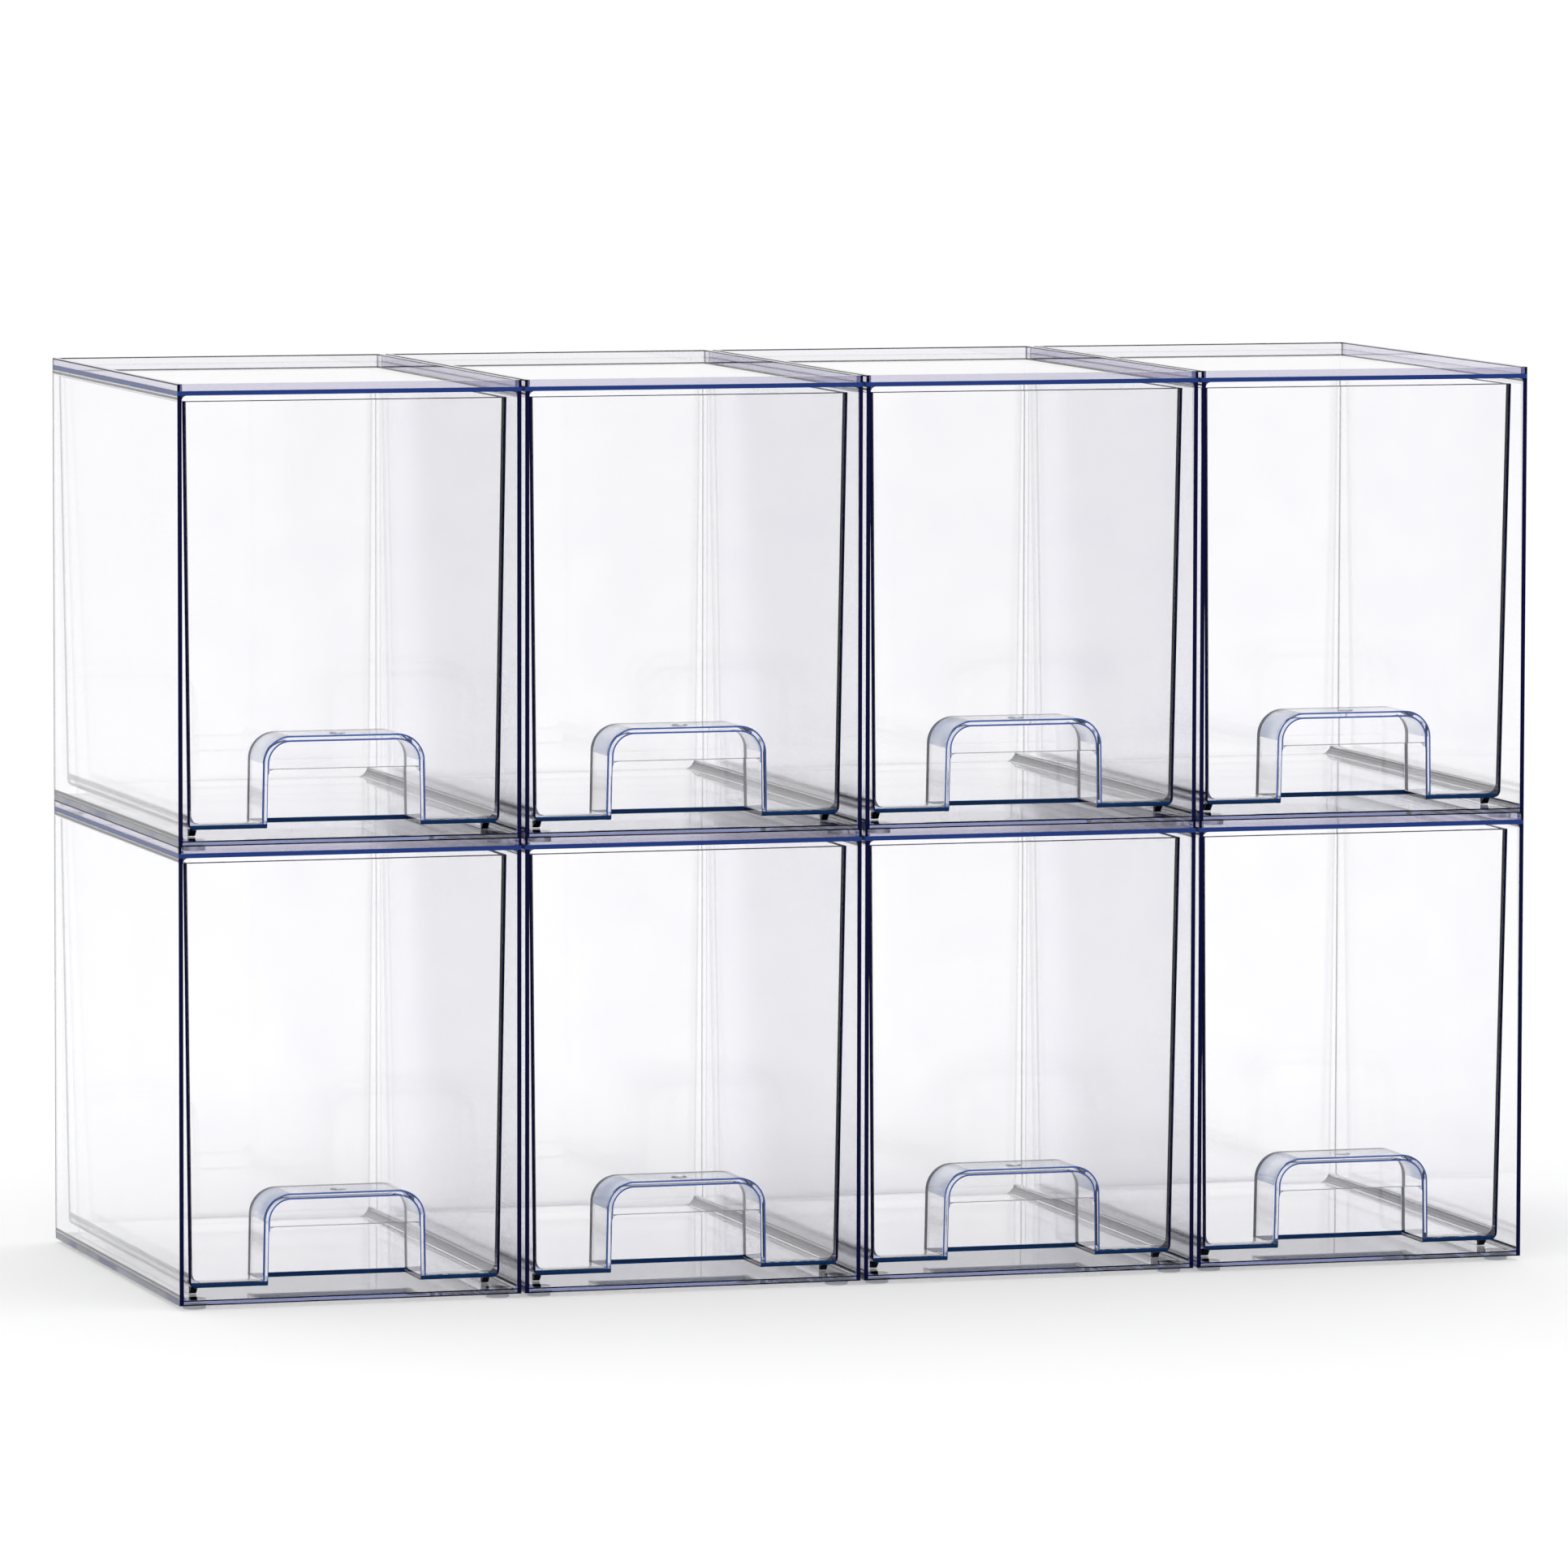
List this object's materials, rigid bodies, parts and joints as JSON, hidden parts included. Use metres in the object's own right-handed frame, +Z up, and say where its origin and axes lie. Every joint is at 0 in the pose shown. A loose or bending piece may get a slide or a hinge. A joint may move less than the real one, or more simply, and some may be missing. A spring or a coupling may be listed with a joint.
{
  "type": "stacking storage drawers",
  "caption": "Clear plastic stacking storage drawers for craft stamps: open-front cases on round pads, each with a pull-out drawer that has an arched finger pull.",
  "frame": {"origin": "middle of the whole set's outline, on the surface that its pads stand on", "axes": "+X along the row, open drawer fronts face -Y, +Z up"},
  "size_m": [0.5202, 0.203, 0.3378],
  "materials": {
    "clear_case_plastic": "clear, glossy moulded plastic",
    "clear_drawer_plastic": "clear, glossy moulded plastic",
    "clear_pad_rubber": "clear soft pad"
  },
  "bodies": {
    "standing_cases": {"case_lower_1": "clear_case_plastic", "pads_lower_1": "clear_pad_rubber", "case_lower_2": "clear_case_plastic", "pads_lower_2": "clear_pad_rubber", "case_lower_3": "clear_case_plastic", "pads_lower_3": "clear_pad_rubber", "case_lower_4": "clear_case_plastic", "pads_lower_4": "clear_pad_rubber"},
    "stacked_case_1": {"case_upper_1": "clear_case_plastic", "pads_upper_1": "clear_pad_rubber"},
    "stacked_case_2": {"case_upper_2": "clear_case_plastic", "pads_upper_2": "clear_pad_rubber"},
    "stacked_case_3": {"case_upper_3": "clear_case_plastic", "pads_upper_3": "clear_pad_rubber"},
    "stacked_case_4": {"case_upper_4": "clear_case_plastic", "pads_upper_4": "clear_pad_rubber"},
    "sliding_drawer_lower_1": {"drawer_lower_1": "clear_drawer_plastic"},
    "sliding_drawer_lower_2": {"drawer_lower_2": "clear_drawer_plastic"},
    "sliding_drawer_lower_3": {"drawer_lower_3": "clear_drawer_plastic"},
    "sliding_drawer_lower_4": {"drawer_lower_4": "clear_drawer_plastic"},
    "sliding_drawer_upper_1": {"drawer_upper_1": "clear_drawer_plastic"},
    "sliding_drawer_upper_2": {"drawer_upper_2": "clear_drawer_plastic"},
    "sliding_drawer_upper_3": {"drawer_upper_3": "clear_drawer_plastic"},
    "sliding_drawer_upper_4": {"drawer_upper_4": "clear_drawer_plastic"}
  },
  "joints": [
    {"name": "lift_off_1", "type": "slide", "parent": "standing_cases", "child": "stacked_case_1", "axis": [0, 0, 1], "range_m": [0, 0.03]},
    {"name": "lift_off_2", "type": "slide", "parent": "standing_cases", "child": "stacked_case_2", "axis": [0, 0, 1], "range_m": [0, 0.03]},
    {"name": "lift_off_3", "type": "slide", "parent": "standing_cases", "child": "stacked_case_3", "axis": [0, 0, 1], "range_m": [0, 0.03]},
    {"name": "lift_off_4", "type": "slide", "parent": "standing_cases", "child": "stacked_case_4", "axis": [0, 0, 1], "range_m": [0, 0.03]},
    {"name": "pull_out_lower_1", "type": "slide", "parent": "standing_cases", "child": "sliding_drawer_lower_1", "axis": [0, -1, 0], "range_m": [0, 0.165]},
    {"name": "pull_out_lower_2", "type": "slide", "parent": "standing_cases", "child": "sliding_drawer_lower_2", "axis": [0, -1, 0], "range_m": [0, 0.165]},
    {"name": "pull_out_lower_3", "type": "slide", "parent": "standing_cases", "child": "sliding_drawer_lower_3", "axis": [0, -1, 0], "range_m": [0, 0.165]},
    {"name": "pull_out_lower_4", "type": "slide", "parent": "standing_cases", "child": "sliding_drawer_lower_4", "axis": [0, -1, 0], "range_m": [0, 0.165]},
    {"name": "pull_out_upper_1", "type": "slide", "parent": "stacked_case_1", "child": "sliding_drawer_upper_1", "axis": [0, -1, 0], "range_m": [0, 0.165]},
    {"name": "pull_out_upper_2", "type": "slide", "parent": "stacked_case_2", "child": "sliding_drawer_upper_2", "axis": [0, -1, 0], "range_m": [0, 0.165]},
    {"name": "pull_out_upper_3", "type": "slide", "parent": "stacked_case_3", "child": "sliding_drawer_upper_3", "axis": [0, -1, 0], "range_m": [0, 0.165]},
    {"name": "pull_out_upper_4", "type": "slide", "parent": "stacked_case_4", "child": "sliding_drawer_upper_4", "axis": [0, -1, 0], "range_m": [0, 0.165]}
  ]
}
